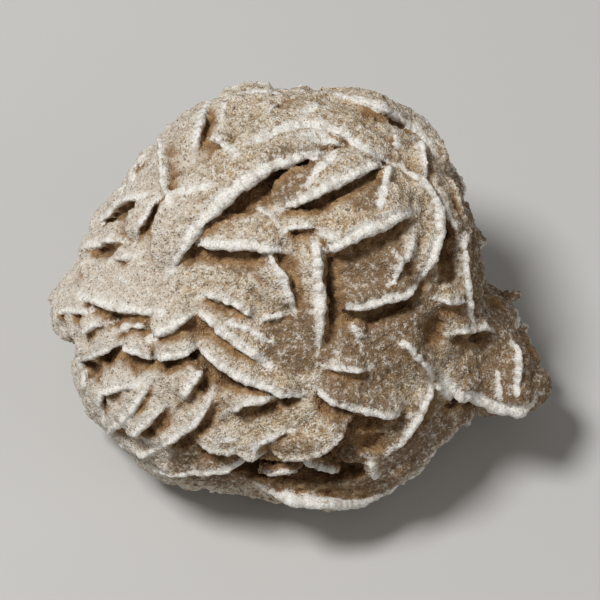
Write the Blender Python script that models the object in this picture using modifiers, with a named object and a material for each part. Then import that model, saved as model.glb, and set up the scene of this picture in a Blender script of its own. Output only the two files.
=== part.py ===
"""A gypsum sand rose: one solid cluster of gypsum blades grown through each other in sand.

Lengths are millimetres until finish() scales the solid to metres. +Z is up, and the rose lies on its worn
foot at z = 0 with the origin in the foot. Its show face looks up and forward, towards -Y.

The blades of the show face are drawn on a grid, as a mineral drawing is: STEP is one grid step, x runs to
the right and y runs down. The drawing plane passes through the heart of the rose and is seen from
SIGHT_DISTANCE, so a drawn point drops on to the body along its line of sight.
"""

import math
import random

import bmesh
import bpy
from mathutils import Matrix, Vector, noise
from mathutils.bvhtree import BVHTree
from mathutils.kdtree import KDTree

# The drawing grid and how it stands.
STEP = 0.15
GRID_MIDDLE = 300.0
SIGHT_DISTANCE = 450.0
FACE_RISE = math.radians(60.0)
HEART = Vector((0.0, 4.0, 23.0))
RIGHT = Vector((1.0, 0.0, 0.0))
UPWARD = Vector((0.0, math.sin(FACE_RISE), math.cos(FACE_RISE)))
OUTWARD = Vector((0.0, -math.cos(FACE_RISE), math.sin(FACE_RISE)))
EYE = HEART + OUTWARD * SIGHT_DISTANCE

# The rounded mass: its outline on the grid, clockwise from the left, and how deep it is each way.
MASS_MIDDLE = (265.0, 300.0)
MASS_FRONT = 18.0
MASS_BACK = 18.0
MASS_FULLNESS = 0.88
OUTLINE = [
    (68, 306), (82, 268), (99, 236), (119, 200), (138, 167), (158, 140), (206, 110), (245, 99),
    (300, 99), (345, 102), (381, 114), (417, 136), (440, 162), (457, 198), (470, 235), (474, 275),
    (472, 320), (463, 370), (449, 408), (431, 443), (411, 469), (374, 484), (322, 493), (275, 488),
    (225, 480), (165, 470), (128, 446), (108, 419), (95, 388), (80, 358), (70, 334),
]

# Lumps that grew on to the mass: grid middle, height over the drawing plane, half sizes along, across
# and outward, and the turn of the long way in degrees.
LUMPS = {
    "lobe_root": ((451, 330), -7.0, (12.0, 8.2, 13.0), -50.0),
    "right_lobe": ((477, 353), -6.0, (11.4, 6.8, 11.5), -42.0),
    "lobe_tip": ((518, 383), -5.0, (4.8, 4.2, 7.5), -20.0),
    "lower_right": ((424, 400), -3.0, (8.0, 6.5, 9.0), 40.0),
    "left_tip": ((74, 315), -1.0, (3.6, 4.6, 6.0), 20.0),
    "rosette": ((350, 235), 10.0, (13.0, 11.0, 8.5), -30.0),
    "near_ledge": ((300, 420), 1.0, (19.0, 7.0, 9.0), 4.0),
    "left_ledge": ((130, 380), -2.0, (9.0, 7.0, 10.0), -35.0),
}
# The mass and the underside aren't even: how far they swell and at what sizes.
SWELLS = ((1.5, 17.0), (0.7, 7.0))
SWELL_SEED = 4
# The broad underside, which carries the rose: its middle and half sizes.
UNDERSIDE = (Vector((-3.0, 5.0, 16.0)), (29.0, 26.0, 18.5))

# How each kind of blade stands: rim height and thickness, lean over its hollow, the sand aprons that
# slope up to it from behind and in front, and the depth, width and undercut of the hollow ahead of it.
KINDS = {
    "fin": {"height": 1.4, "rim": 0.65, "lean": 0, "aprons": (1.5, 1.5), "hollow": (0.0, 0.0, 0.0)},
    "blade": {"height": 1.7, "rim": 0.8, "lean": 8, "aprons": (3.2, 0.5), "hollow": (1.2, 2.8, 0.0)},
    "bold": {"height": 1.8, "rim": 1.2, "lean": 8, "aprons": (3.4, 0.5), "hollow": (1.3, 3.0, 0.0)},
    "hood": {"height": 2.3, "rim": 1.7, "lean": 16, "aprons": (4.6, 0.0), "hollow": (1.3, 5.2, 0.0)},
    "lip": {"height": 2.0, "rim": 1.3, "lean": 26, "aprons": (4.8, 0.0), "hollow": (2.6, 5.0, 0.4)},
    "ledge": {"height": 2.4, "rim": 1.1, "lean": 26, "aprons": (6.0, 0.0), "hollow": (3.2, 6.2, 0.4)},
    "slab": {"height": 3.0, "rim": 2.3, "lean": 0, "aprons": (1.0, 0.6), "hollow": (0.0, 0.0, 0.0)},
    "brink": {"height": 2.1, "rim": 2.0, "lean": 30, "aprons": (4.8, 0.0), "hollow": (2.8, 5.0, 0.4)},
    "plate": {"height": 3.4, "rim": 0.9, "lean": 20, "aprons": (3.6, 0.2), "hollow": (2.8, 4.6, 0.3)},
    "edge": {"height": 1.15, "rim": 0.55, "lean": 8, "aprons": (2.1, 0.3), "hollow": (0.8, 1.8, 0.0)},
    "sliver": {"height": 0.6, "rim": 0.7, "lean": 10, "aprons": (1.0, 0.2), "hollow": (0.0, 0.0, 0.0)},
    "welt": {"height": 0.8, "rim": 0.55, "lean": 4, "aprons": (1.5, 0.8), "hollow": (0.4, 1.2, 0.0)},
}
# The blades of the show face stand between the way out of the mass and the way to the eye: RIM_TURN is the
# eye's share. Towards its tips, over END_TAPER of its length, a blade sinks and narrows to TIP_APRON of its
# aprons, and its rim thins to TIP_RIM over RIM_TAPER. The rim's crest is rounded, the slope behind it lies
# SLOPE_DROP of the height down at SLOPE_REACH of the apron, and the front is cut back under the rim at BROW
# of the height.
PATH_STEP = 1.5
RIM_TURN = 0.65
END_TAPER = 0.18
RIM_TAPER = 0.5
END_SINK = 0.9
TIP_RIM = 0.45
TIP_APRON = 0.35
CREST_ROUNDING = 0.3
SLOPE_REACH, SLOPE_DROP = 0.4, 0.48
BROW = 0.3
APRON_SINK = 0.4
ROOT = 4.0
ROOT_WIDTH = 0.5
# The grain size that the mass is fused to, and then the whole cluster, and its facets.
MASS_GRAIN = 0.5
CLUSTER_GRAIN = 0.4
CARVE_STEP = 0.5
HOLLOW_TAPER = 0.3
FACETS = 9800

# Recesses between the growths: the line of the floor on the grid, half width and depth.
RECESSES = [
    ([(206, 464), (238, 468), (280, 474), (330, 475), (384, 466)], 2.6, 5.6),
    ([(352, 438), (378, 448), (398, 436)], 2.0, 2.8),
    ([(116, 424), (134, 446), (160, 458)], 1.8, 2.6),
    ([(345, 318), (380, 310), (416, 298)], 2.4, 3.0),
    ([(452, 196), (455, 230), (450, 262), (444, 292)], 2.8, 3.4),
    ([(436, 312), (432, 330), (440, 352)], 2.6, 2.6),
    ([(446, 402), (470, 411), (500, 419)], 2.2, 3.6),
    ([(334, 418), (362, 424), (394, 425)], 2.2, 3.0),
    ([(154, 226), (160, 214)], 1.6, 1.6),
]

# The blades of the show face: kind, share of the kind's size, and the rim's line on the grid. The
# hollow lies on the right hand of the line.
SHOW_BLADES = [
    ("hood", 1.15, [
        (171, 273), (180, 250), (197, 225), (215, 206),
        (238, 186), (263, 171), (290, 159), (332, 153),
    ]),
    ("blade", 1.0, [
        (233, 151), (254, 146), (272, 136), (290, 128),
        (316, 125), (341, 135), (362, 150), (398, 166),
    ]),
    ("blade", 0.8, [(294, 125), (303, 115), (313, 109), (324, 109)]),
    ("fin", 1.2, [(207, 104), (222, 97), (242, 94), (272, 95), (300, 97), (322, 97)]),
    ("blade", 1.0, [
        (318, 97), (346, 99), (360, 107), (380, 112),
        (400, 122), (417, 134), (430, 148), (437, 162),
    ]),
    ("bold", 0.9, [(195, 157), (197, 139), (203, 120), (208, 106)]),
    ("fin", 1.1, [(211, 138), (226, 148), (239, 165)]),
    ("fin", 1.35, [(160, 140), (165, 152), (165, 166), (164, 187), (168, 200), (177, 214)]),
    ("blade", 0.8, [(135, 241), (142, 223), (151, 209), (163, 196)]),
    ("blade", 0.9, [(102, 232), (106, 219), (117, 209), (131, 200), (158, 194)]),
    ("blade", 0.8, [(172, 194), (201, 189), (225, 186)]),
    ("hood", 0.85, [(190, 245), (218, 243), (245, 244), (268, 247), (290, 252)]),
    ("blade", 1.0, [(293, 312), (290, 296), (284, 276), (277, 262), (262, 253)]),
    ("bold", 1.2, [(318, 350), (320, 318), (318, 290), (318, 258), (314, 232)]),
    ("hood", 1.0, [(321, 255), (333, 244), (355, 235), (373, 225), (394, 216), (415, 212)]),
    ("hood", 0.9, [(280, 212), (298, 201), (325, 189), (346, 179), (362, 168), (384, 165)]),
    ("fin", 1.1, [(376, 212), (384, 194), (390, 178), (388, 166)]),
    ("fin", 1.1, [(306, 193), (314, 185), (325, 169), (334, 157)]),
    ("fin", 0.45, [(254, 208), (266, 214), (279, 226)]),
    ("blade", 0.7, [(283, 232), (298, 226), (320, 227)]),
    ("blade", 0.8, [(383, 281), (404, 276), (401, 260), (393, 250)]),
    ("lip", 0.95, [(339, 310), (369, 301), (396, 292), (421, 282)]),
    ("hood", 0.9, [(421, 282), (427, 258), (436, 240), (438, 222), (434, 202), (420, 185), (402, 166)]),
    ("lip", 0.8, [(314, 390), (334, 399), (351, 405), (378, 410), (406, 413)]),
    ("bold", 0.9, [(389, 454), (401, 442), (410, 428), (419, 412), (427, 396), (433, 380)]),
    ("fin", 1.0, [(396, 341), (407, 346), (416, 357), (433, 377)]),
    ("blade", 0.8, [(323, 366), (346, 371), (370, 368)]),
    ("blade", 1.0, [(449, 334), (460, 330), (476, 327), (489, 330)]),
    ("bold", 0.8, [(470, 323), (465, 294), (462, 262), (463, 236), (460, 210), (451, 188), (440, 170)]),
    ("blade", 0.8, [(426, 177), (423, 158), (416, 141)]),
    ("brink", 1.15, [(440, 380), (459, 386), (476, 391), (494, 397), (512, 401), (528, 402), (540, 397)]),
    ("blade", 1.0, [(514, 392), (517, 370), (517, 355), (512, 341)]),
    ("blade", 0.8, [(436, 300), (449, 303), (463, 300)]),
    ("lip", 0.7, [(58, 308), (64, 309), (77, 310), (93, 309)]),
    ("bold", 1.0, [(81, 295), (95, 304), (120, 307), (140, 310), (167, 314)]),
    ("blade", 0.7, [(84, 334), (92, 326), (111, 323)]),
    ("welt", 1.3, [(118, 329), (135, 327), (152, 328)]),
    ("bold", 1.0, [(152, 337), (163, 331), (176, 323), (196, 312)]),
    ("bold", 1.0, [(197, 312), (207, 319), (219, 328), (236, 341), (254, 354), (271, 366)]),
    ("lip", 0.75, [(82, 355), (94, 351), (110, 346), (126, 342)]),
    ("lip", 0.75, [(122, 342), (138, 349), (158, 357)]),
    ("lip", 0.85, [(154, 357), (176, 351), (199, 345)]),
    ("lip", 0.9, [(195, 346), (219, 360), (236, 370), (263, 383), (285, 391), (305, 398)]),
    ("blade", 0.8, [(200, 297), (228, 297), (240, 306), (256, 320)]),
    ("blade", 0.7, [(229, 322), (250, 330), (272, 341)]),
    ("blade", 1.0, [(107, 390), (122, 387), (140, 384)]),
    ("hood", 0.75, [(107, 430), (124, 416), (138, 404), (147, 392), (149, 383)]),
    ("blade", 1.0, [(135, 434), (147, 421), (165, 407)]),
    ("blade", 1.1, [(181, 400), (186, 392), (193, 381), (205, 367)]),
    ("blade", 1.1, [(160, 446), (179, 435), (196, 423), (206, 410), (212, 395)]),
    ("blade", 1.0, [(229, 411), (242, 403), (256, 399), (277, 396)]),
    ("blade", 0.8, [(257, 443), (272, 435), (291, 430)]),
    ("ledge", 1.0, [(195, 442), (227, 442), (250, 446), (269, 452)]),
    ("ledge", 1.0, [(269, 452), (284, 446), (309, 449), (325, 441), (338, 428), (350, 415)]),
    ("lip", 0.8, [(150, 460), (173, 468), (201, 468), (227, 462), (255, 456)]),
    ("sliver", 1.0, [(259, 471), (275, 475), (290, 472), (301, 466)]),
    ("sliver", 1.0, [(298, 457), (316, 466), (340, 473)]),
    ("slab", 1.0, [(262, 486), (286, 493), (320, 497), (352, 495), (384, 487), (410, 474)]),
    ("blade", 1.0, [(406, 474), (414, 466), (424, 453), (430, 438)]),
    ("blade", 0.9, [(84, 252), (99, 244), (126, 242)]),
    ("fin", 1.0, [(134, 184), (141, 164), (156, 142)]),
    ("blade", 0.9, [(112, 428), (106, 412), (104, 396), (105, 381)]),
    ("fin", 1.1, [(118, 434), (128, 446), (143, 452), (158, 448)]),
    ("fin", 1.0, [(92, 392), (85, 374), (86, 358)]),
]

# The blades of the sides, back and underside, scattered by rule. Most run round the rose like petals,
# within HIDDEN_WANDER degrees of level, and the rest cross them.
HIDDEN_SEED = 11
HIDDEN_SITES = 300
HIDDEN_FACING = -0.02
# Near the edge of the show face they are low blades, between these depths inside the mass's outline, so
# that the right lobe stays smooth.
EDGE_BAND = (-1.5, 2.4)
EDGE_FACING = 0.5
HIDDEN_LEAST_RISE = 2.6
HIDDEN_LENGTH = (9.0, 22.0)
HIDDEN_WANDER = 28.0
HIDDEN_CROSSING = 0.34
HIDDEN_KINDS = ("plate", "plate", "hood", "lip", "blade")

SAND = (0.62, 0.50, 0.37, 1.0)


def drawn(x, y, toward=0.0):
    """The place of a grid point, raised towards the eye from the drawing plane."""
    across, up = (x - GRID_MIDDLE) * STEP, (GRID_MIDDLE - y) * STEP
    return HEART + RIGHT * across + UPWARD * up + OUTWARD * toward


def smooth_line(points, spacing, closed=False):
    """Points at even spacing along a Catmull-Rom curve through points."""
    count = len(points)
    spans = count if closed else count - 1

    def at(index):
        if closed:
            return points[index % count]
        return points[min(max(index, 0), count - 1)]

    dense = []
    for i in range(spans):
        before, start, end, after = at(i - 1), at(i), at(i + 1), at(i + 2)
        for k in range(8):
            t = k / 8
            dense.append(
                0.5 * (2 * start + (end - before) * t
                       + (2 * before - 5 * start + 4 * end - after) * t**2
                       + (3 * start - before - 3 * end + after) * t**3)
            )
    dense.append(at(spans).copy())
    length = sum((b - a).length for a, b in zip(dense, dense[1:]))
    pieces = max(3, round(length / spacing))
    line, walked, target = [dense[0]], 0.0, length / pieces
    for a, b in zip(dense, dense[1:]):
        span = (b - a).length
        while walked + span >= target - 1e-6 and len(line) < pieces:
            line.append(a.lerp(b, (target - walked) / span))
            target += length / pieces
        walked += span
    line.append(dense[-1])
    return line


def outline_radius():
    """The mass's outline as a function of the angle round MASS_MIDDLE, in millimetres."""
    corners = [Vector((x - MASS_MIDDLE[0], MASS_MIDDLE[1] - y)) * STEP for x, y in OUTLINE]
    ring = smooth_line(corners, spacing=1.0, closed=True)
    polar = sorted((math.atan2(p.y, p.x), p.length) for p in ring)

    def radius(angle):
        lower = polar[-1][0] - 2 * math.pi, polar[-1][1]
        for upper in polar + [(polar[0][0] + 2 * math.pi, polar[0][1])]:
            if upper[0] >= angle:
                share = (angle - lower[0]) / max(upper[0] - lower[0], 1e-9)
                return lower[1] + (upper[1] - lower[1]) * share
            lower = upper
        return polar[-1][1]

    return radius


def new_object(name, bm, collection):
    mesh = bpy.data.meshes.new(name)
    bm.to_mesh(mesh)
    bm.free()
    obj = bpy.data.objects.new(name, mesh)
    collection.objects.link(obj)
    return obj


def swollen(place):
    """A place moved by the body's uneven swelling."""
    moved = place.copy()
    for swell, size in SWELLS:
        moved += noise.noise_vector(place / size) * swell
    return moved


def mass_object(collection):
    """The rounded mass: a sphere whose equator follows the outline, poles outward and back."""
    radius = outline_radius()
    middle = drawn(*MASS_MIDDLE)
    bm = bmesh.new()
    bmesh.ops.create_uvsphere(bm, u_segments=72, v_segments=36, radius=1.0)
    for vert in bm.verts:
        flat = math.hypot(vert.co.x, vert.co.y)
        pole = vert.co.z
        angle = math.atan2(vert.co.y, vert.co.x)
        spread = radius(angle) * flat**MASS_FULLNESS
        depth = MASS_FRONT if pole > 0 else MASS_BACK
        rise = math.copysign(depth * abs(pole) ** MASS_FULLNESS, pole)
        direction = RIGHT * math.cos(angle) + UPWARD * math.sin(angle)
        vert.co = swollen(middle + direction * spread + OUTWARD * rise)
    return new_object("mass", bm, collection)


def ellipsoid(name, middle, axes, half_sizes, collection, detail=4):
    """An ellipsoid on three axes."""
    turn = Matrix(axes).transposed().to_4x4()
    size = Matrix.Diagonal((*half_sizes, 1.0))
    bm = bmesh.new()
    place = Matrix.Translation(middle) @ turn @ size
    bmesh.ops.create_icosphere(bm, subdivisions=detail, radius=1.0, matrix=place)
    for vert in bm.verts:
        vert.co = swollen(vert.co)
    return new_object(name, bm, collection)


def lump_objects(collection):
    lumps = []
    for name, (spot, toward, half_sizes, degrees) in LUMPS.items():
        turn = math.radians(degrees)
        along = RIGHT * math.cos(turn) + UPWARD * math.sin(turn)
        axes = (along, OUTWARD.cross(along), OUTWARD)
        lumps.append(ellipsoid(name, drawn(*spot, toward), axes, half_sizes, collection))
    world_axes = (RIGHT, Vector((0, 1, 0)), Vector((0, 0, 1)))
    lumps.append(ellipsoid("underside", UNDERSIDE[0], world_axes, UNDERSIDE[1], collection))
    return lumps


def evaluated_mesh(obj):
    bpy.context.view_layer.update()
    graph = bpy.context.evaluated_depsgraph_get()
    return bpy.data.meshes.new_from_object(obj.evaluated_get(graph))


def islands(bm):
    """The connected pieces of a mesh, as lists of faces."""
    unseen, found = set(bm.faces), []
    while unseen:
        island, front = [], [unseen.pop()]
        while front:
            face = front.pop()
            island.append(face)
            for edge in face.edges:
                for other in edge.link_faces:
                    if other in unseen:
                        unseen.discard(other)
                        front.append(other)
        found.append(island)
    return found


def fuse(obj, collection, grain):
    """Grows obj and every object of a collection together in one skin, and leaves no sealed pocket."""
    bm = bmesh.new()
    bm.from_mesh(obj.data)
    for other in collection.objects:
        bm.from_mesh(other.data)
    bm.to_mesh(obj.data)
    bm.free()
    remesh = obj.modifiers.new("grown_together", "REMESH")
    remesh.mode = "VOXEL"
    remesh.voxel_size = grain
    obj.data = evaluated_mesh(obj)
    obj.modifiers.clear()
    bm = bmesh.new()
    bm.from_mesh(obj.data)
    skins = sorted(islands(bm), key=len)
    bmesh.ops.delete(bm, geom=[face for skin in skins[:-1] for face in skin], context="FACES")
    bm.to_mesh(obj.data)
    bm.free()


def facet(obj):
    """Brings the fused skin down to FACETS flat faces."""
    decimate = obj.modifiers.new("facets", "DECIMATE")
    decimate.ratio = FACETS / sum(len(p.vertices) - 2 for p in obj.data.polygons)
    decimate.use_collapse_triangulate = True
    obj.data = evaluated_mesh(obj)
    obj.modifiers.clear()


def surface_of(obj):
    bm = bmesh.new()
    bm.from_mesh(obj.data)
    tree = BVHTree.FromBMesh(bm)
    bm.free()
    return tree


def drop(surface, x, y):
    """Where the line of sight through a grid point meets the body, and the surface's normal there."""
    point = drawn(x, y)
    spot, normal, _, _ = surface.ray_cast(EYE, (point - EYE).normalized())
    if spot is None:
        spot, normal, _, _ = surface.find_nearest(point)
    return spot, normal


def averaged(values, reach):
    """Each value averaged with its neighbours on both sides; the ends keep their place."""
    count = len(values)
    smooth = []
    for i in range(count):
        near = min(reach, i, count - 1 - i)
        part = values[i - near: i + near + 1]
        smooth.append(sum(part, Vector((0, 0, 0))) / len(part))
    return smooth


def settled(spots, normals):
    """A rim line evened out, so that a blade neither waves nor twists."""
    line = averaged(spots, 2)
    ways = averaged(averaged(normals, 3), 3)
    ways[0] = ways[0] + 2 * ways[1]
    ways[-1] = ways[-1] + 2 * ways[-2]
    return [(spot, way.normalized()) for spot, way in zip(line, ways)]


def drawn_rim(surface, points):
    grid_line = smooth_line([Vector(p) for p in points], PATH_STEP / STEP)
    dropped = [drop(surface, *p) for p in grid_line]
    return settled([spot for spot, _ in dropped], [normal.lerp(OUTWARD, RIM_TURN) for _, normal in dropped])


def sweep(name, rim, section, collection):
    """A closed solid whose section, given by its share of the way along, follows a rim line."""
    bm = bmesh.new()
    rings = []
    last = len(rim) - 1
    for i, (spot, normal) in enumerate(rim):
        tangent = (rim[min(i + 1, last)][0] - rim[max(i - 1, 0)][0]).normalized()
        side = tangent.cross(normal).normalized()
        up = side.cross(tangent).normalized()
        rings.append([bm.verts.new(spot + side * s + up * u) for s, u in section(i / last)])
    for a, b in zip(rings, rings[1:]):
        for j in range(len(a)):
            k = (j + 1) % len(a)
            bm.faces.new((a[j], a[k], b[k], b[j]))
    bm.faces.new(rings[0][::-1])
    bm.faces.new(rings[-1])
    bmesh.ops.triangulate(bm, faces=bm.faces[:])
    bmesh.ops.recalc_face_normals(bm, faces=bm.faces[:])
    return new_object(name, bm, collection)


def fullness(share, taper):
    """0 at a blade's tips, and 1 along its middle from that share of its length on."""
    return min(1.0, min(share, 1 - share) / taper) ** 0.75


def blade_section(kind, scale):
    """A blade's section, across and outward from its rim line: rim, hollow-sided aprons and root."""
    height, rim = kind["height"] * scale, kind["rim"] * min(scale, 1.2)
    lean = math.radians(kind["lean"])
    out = Vector((math.sin(lean), math.cos(lean)))
    over = Vector((math.cos(lean), -math.sin(lean)))

    def section(share):
        full, wide = fullness(share, END_TAPER), fullness(share, RIM_TAPER)
        top = out * (height * full - END_SINK * (1 - full))
        half = over * rim / 2 * (TIP_RIM + (1 - TIP_RIM) * wide)
        behind, ahead = (reach * scale * (TIP_APRON + (1 - TIP_APRON) * full) for reach in kind["aprons"])
        return [
            top + half,
            top + out * rim * CREST_ROUNDING * full,
            top - half,
            top - half - Vector((SLOPE_REACH * behind, SLOPE_DROP * height * full)),
            Vector((-behind - rim / 2, -APRON_SINK)),
            Vector((-ROOT_WIDTH * behind - rim / 2, -ROOT)),
            Vector((ROOT_WIDTH * ahead + rim / 2, -ROOT)),
            Vector((ahead + rim / 2, -APRON_SINK)),
            top * BROW + half + Vector((BROW * ahead, 0.0)),
        ]

    return section


def hollow_fall(across):
    """A hollow's depth across it: a steep wall under its blade, then a floor that rises gently."""
    if across < 0.12:
        return smoothstep(-0.16, 0.12, across)
    return 1 - smoothstep(0.35, 1.0, across)


def recess_fall(across):
    """A recess is as deep on both sides of its line."""
    return 1 - smoothstep(0.25, 1.0, abs(across))


def smoothstep(low, high, value):
    share = min(1.0, max(0.0, (value - low) / (high - low)))
    return share * share * (3 - 2 * share)


def carve(obj, grooves):
    """Sinks the skin into each groove: its line, depth, width and fall, and how far it undercuts."""
    tree = KDTree(len(obj.data.vertices))
    for vert in obj.data.vertices:
        tree.insert(vert.co, vert.index)
    tree.balance()
    sunk = {}
    for rim, depth, width, fall, undercut in grooves:
        spots = smooth_line([spot for spot, _ in rim], CARVE_STEP)
        last = len(spots) - 1
        for i, spot in enumerate(spots):
            normal = rim[round(i / last * (len(rim) - 1))][1]
            tangent = (spots[min(i + 1, last)] - spots[max(i - 1, 0)]).normalized()
            side = tangent.cross(normal).normalized()
            full = max(fullness(i / last, HOLLOW_TAPER), 0.15)
            wide = width * (0.4 + 0.6 * full)
            for place, index, _ in tree.find_range(spot, 1.2 * wide):
                away = place - spot
                if abs(away.dot(tangent)) > CARVE_STEP:
                    continue
                deep = depth * full * fall(away.dot(side) / wide)
                if deep > sunk.get(index, (0.0, None))[0]:
                    sunk[index] = deep, normal * -deep - side * deep * undercut
    for index, (_, move) in sunk.items():
        obj.data.vertices[index].co += move


def inside(radius, spot):
    """How far a place is inside the outline, seen from the eye."""
    sight = spot - EYE
    seen = EYE + sight * (SIGHT_DISTANCE / -sight.dot(OUTWARD)) - drawn(*MASS_MIDDLE)
    across, up = seen.dot(RIGHT), seen.dot(UPWARD)
    return radius(math.atan2(up, across)) - math.hypot(across, up)


def hidden_rims(surface):
    """Rim lines over the sides, back and underside, each an arc walked over the surface."""
    radius = outline_radius()
    chance = random.Random(HIDDEN_SEED)
    rims = []
    for i in range(HIDDEN_SITES):
        rise = 1 - 2 * (i + 0.5) / HIDDEN_SITES
        round_angle = i * math.pi * (3 - math.sqrt(5))
        flat = math.sqrt(1 - rise * rise)
        way = Vector((flat * math.cos(round_angle), flat * math.sin(round_angle), rise))
        spot, normal, _, _ = surface.ray_cast(HEART + way * 100, -way)
        turn = math.radians(chance.uniform(-HIDDEN_WANDER, HIDDEN_WANDER))
        if chance.random() < HIDDEN_CROSSING:
            turn += math.radians(chance.choice((-75, 75)))
        bend = chance.uniform(-0.03, 0.03)
        length, kind = chance.uniform(*HIDDEN_LENGTH), chance.choice(HIDDEN_KINDS)
        scale = chance.uniform(0.7, 1.15)
        level = Vector((0, 0, 1)).cross(normal).normalized()
        heading = Matrix.Rotation(turn, 3, normal) @ level
        spots, normals = [], []
        for _ in range(max(4, round(length / PATH_STEP)) + 1):
            spots.append(spot)
            normals.append(normal)
            heading = Matrix.Rotation(bend * PATH_STEP, 3, normal) @ heading
            heading = (heading - normal * heading.dot(normal)).normalized()
            spot, normal, _, _ = surface.find_nearest(spot + heading * PATH_STEP)
        facing = max(n.dot((EYE - s).normalized()) for s, n in zip(spots, normals))
        if min(s.z for s in spots) < HIDDEN_LEAST_RISE or facing > EDGE_FACING:
            continue
        if facing < HIDDEN_FACING:
            rims.append((kind, scale, settled(spots, normals)))
        elif EDGE_BAND[0] < max(inside(radius, s) for s in spots) < EDGE_BAND[1]:
            rims.append(("edge", 1.0, settled(spots, normals)))
    return rims


def cut_foot(obj):
    """Cuts the solid off flat at z = 0, where it is worn."""
    bm = bmesh.new()
    bm.from_mesh(obj.data)
    cut = bmesh.ops.bisect_plane(
        bm, geom=bm.verts[:] + bm.edges[:] + bm.faces[:], dist=1e-5,
        plane_co=(0, 0, 0), plane_no=(0, 0, -1), clear_outer=True,
    )
    edges = [e for e in cut["geom_cut"] if isinstance(e, bmesh.types.BMEdge)]
    bmesh.ops.contextual_create(bm, geom=edges)
    bmesh.ops.triangulate(bm, faces=bm.faces[:])
    bm.to_mesh(obj.data)
    bm.free()


def sand_material():
    material = bpy.data.materials.new("sandy_gypsum")
    material.use_nodes = True
    shader = material.node_tree.nodes["Principled BSDF"]
    shader.inputs["Base Color"].default_value = SAND
    shader.inputs["Roughness"].default_value = 0.95
    shader.inputs["Metallic"].default_value = 0.0
    return material


def new_collection(name):
    collection = bpy.data.collections.new(name)
    bpy.context.scene.collection.children.link(collection)
    return collection


def main():
    for obj in list(bpy.data.objects):
        bpy.data.objects.remove(obj)
    noise.seed_set(SWELL_SEED)
    rose, lumps, blades = (new_collection(name) for name in ("gypsum_sand_rose", "lumps", "blades"))

    body = mass_object(rose)
    lump_objects(lumps)
    fuse(body, lumps, MASS_GRAIN)
    surface = surface_of(body)

    rims = [(kind, scale, drawn_rim(surface, line)) for kind, scale, line in SHOW_BLADES]
    rims += hidden_rims(surface)
    grooves = [(drawn_rim(surface, line), depth, half_width, recess_fall, 0.0)
               for line, half_width, depth in RECESSES]
    for number, (kind, scale, rim) in enumerate(rims):
        sizes = KINDS[kind]
        sweep(f"blade_{number}", rim, blade_section(sizes, scale), blades)
        depth, width, undercut = sizes["hollow"]
        if depth:
            grooves.append((rim, depth * scale, width * scale, hollow_fall, undercut))
    carve(body, grooves)
    fuse(body, blades, CLUSTER_GRAIN)
    facet(body)
    cut_foot(body)
    body.data.transform(Matrix.Scale(0.001, 4))
    body.name = "sand_rose"
    body.data.materials.clear()
    body.data.materials.append(sand_material())
    for helpers in (lumps, blades):
        for obj in helpers.objects:
            obj.hide_render = True
            obj.display_type = "WIRE"
    print("triangles", sum(len(p.vertices) - 2 for p in body.data.polygons))


main()
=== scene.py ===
"""A gypsum sand rose: lens-shaped blades of gypsum that grew through each other in wet desert sand.

Lengths in the modelling sections are millimetres, in the frame's own axes, and finished() brings each mesh
to metres. The show face looks up and towards -Y. Its blades are placed on a drawing grid that passes
through the heart of the rose: STEP is one grid step, x runs to the right and y runs down.
"""

import math
import random

import bmesh
import bpy
import numpy as np
from mathutils import Matrix, Vector, noise
from mathutils.bvhtree import BVHTree
from mathutils.kdtree import KDTree


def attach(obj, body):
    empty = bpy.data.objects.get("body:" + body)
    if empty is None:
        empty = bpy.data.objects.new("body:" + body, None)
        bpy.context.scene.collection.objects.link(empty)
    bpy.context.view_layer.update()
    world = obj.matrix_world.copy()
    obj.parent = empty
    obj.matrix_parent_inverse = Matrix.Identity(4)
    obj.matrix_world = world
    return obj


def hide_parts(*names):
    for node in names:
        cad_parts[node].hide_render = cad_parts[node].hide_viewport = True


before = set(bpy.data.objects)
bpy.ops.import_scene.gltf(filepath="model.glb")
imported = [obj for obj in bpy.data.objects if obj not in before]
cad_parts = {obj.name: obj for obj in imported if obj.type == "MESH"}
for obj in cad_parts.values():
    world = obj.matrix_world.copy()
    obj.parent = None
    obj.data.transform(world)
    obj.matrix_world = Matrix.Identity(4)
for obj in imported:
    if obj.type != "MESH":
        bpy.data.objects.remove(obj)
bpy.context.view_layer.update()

# --- Heart -------------------------------------------------------------------------------------------
# The first crystals grew together into a rounded mass packed with sand, and more of them swelled out of
# it as lobes and ledges. The underside is the broad part that it rests on.
MM = 0.001
STEP = 0.15
GRID_MIDDLE = 300.0
SIGHT_DISTANCE = 450.0
FACE_RISE = math.radians(60.0)
HEART = Vector((0.0, 4.0, 23.0))
RIGHT = Vector((1.0, 0.0, 0.0))
UPWARD = Vector((0.0, math.sin(FACE_RISE), math.cos(FACE_RISE)))
OUTWARD = Vector((0.0, -math.cos(FACE_RISE), math.sin(FACE_RISE)))
EYE = HEART + OUTWARD * SIGHT_DISTANCE

MASS_MIDDLE = (265.0, 300.0)
MASS_FRONT = 18.0
MASS_BACK = 18.0
MASS_FULLNESS = 0.88
OUTLINE = [
    (68, 306), (82, 268), (99, 236), (119, 200), (138, 167), (158, 140), (206, 110), (245, 99),
    (300, 99), (345, 102), (381, 114), (417, 136), (440, 162), (457, 198), (470, 235), (474, 275),
    (472, 320), (463, 370), (449, 408), (431, 443), (411, 469), (374, 484), (322, 493), (275, 488),
    (225, 480), (165, 470), (128, 446), (108, 419), (95, 388), (80, 358), (70, 334),
]
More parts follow.
